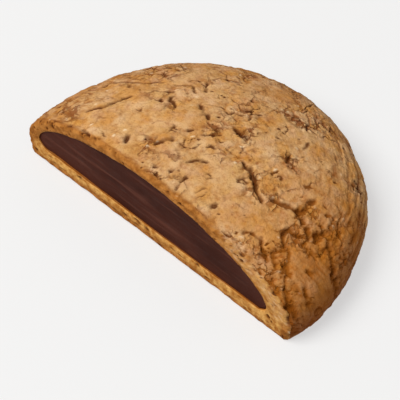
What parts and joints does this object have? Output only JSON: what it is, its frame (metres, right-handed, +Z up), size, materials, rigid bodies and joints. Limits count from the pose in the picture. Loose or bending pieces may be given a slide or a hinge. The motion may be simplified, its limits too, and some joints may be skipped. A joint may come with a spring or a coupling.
{
  "type": "chocolate-filled cookie",
  "caption": "Cut piece of a round domed biscuit with a crackled baked crust and a dark chocolate filling that shows in the cut; rests on its flat base.",
  "frame": {"origin": "on the flat base, on the axis of the round cookie before it was cut", "axes": "+X along the cut, -Y out of the cut face, +Z up to the top of the dome"},
  "size_m": [0.0624, 0.0383, 0.0164],
  "materials": {
    "baked_dough": "matt baked dough, light brown, with a crackled skin",
    "chocolate_filling": "smooth dark chocolate cream, slightly waxy"
  },
  "bodies": {
    "root": {"crust": "baked_dough", "filling": "chocolate_filling"}
  },
  "joints": []
}
